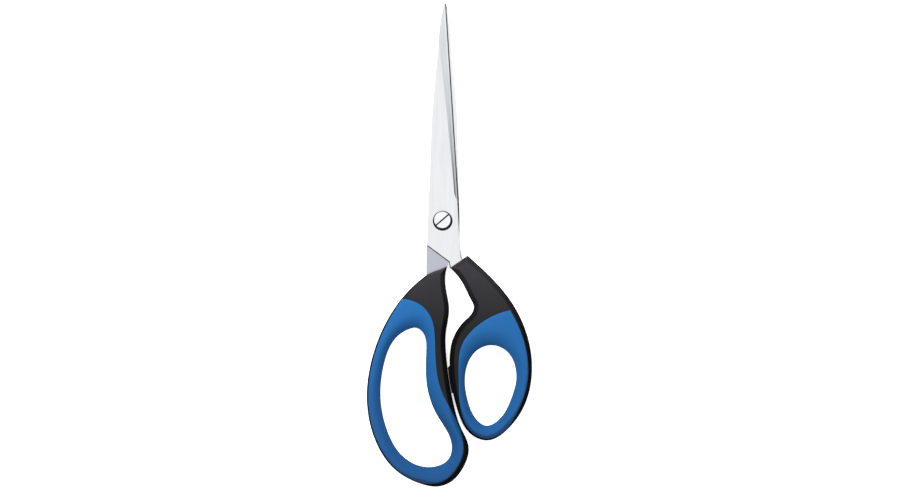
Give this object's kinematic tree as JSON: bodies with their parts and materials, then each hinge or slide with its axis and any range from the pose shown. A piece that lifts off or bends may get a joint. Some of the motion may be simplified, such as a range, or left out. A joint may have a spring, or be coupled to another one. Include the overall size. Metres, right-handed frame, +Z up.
{
  "type": "office scissors",
  "caption": "Long straight-bladed office scissors, closed, with a slotted tension screw and black plastic loop handles lined with soft blue grips.",
  "frame": {"origin": "under the middle of the overall box of the closed scissors, on the surface they lie on", "axes": "+Y from the handles to the blade tips, +Z up through the thickness, +X from the finger handle to the thumb handle"},
  "size_m": [0.0874, 0.255, 0.012],
  "materials": {
    "blade_steel": "ground stainless steel, fine lines across the blade",
    "screw_steel": "turned and polished steel",
    "washer_steel": "black-oxide spring steel",
    "handle_plastic": "black moulded plastic, fine satin grain",
    "grip_rubber": "blue soft-touch elastomer, satin"
  },
  "bodies": {
    "rear_half": {"rear_blade": "blade_steel", "finger_handle": "handle_plastic", "finger_grip": "grip_rubber", "pivot_nut": "screw_steel"},
    "front_half": {"front_blade": "blade_steel", "thumb_handle": "handle_plastic", "thumb_grip": "grip_rubber"},
    "tension_screw": {"pivot_screw": "screw_steel", "pivot_washer": "washer_steel"}
  },
  "joints": [
    {"name": "blade_pivot", "type": "hinge", "parent": "rear_half", "child": "front_half", "pos_m": [-0.00373, 0.01323, 0.006], "axis": [0, 0, 1], "range_deg": [0, 118]},
    {"name": "screw_turn", "type": "hinge", "parent": "rear_half", "child": "tension_screw", "pos_m": [-0.00373, 0.01323, 0.006], "axis": [0, 0, 1], "range_deg": [-90, 90]}
  ]
}
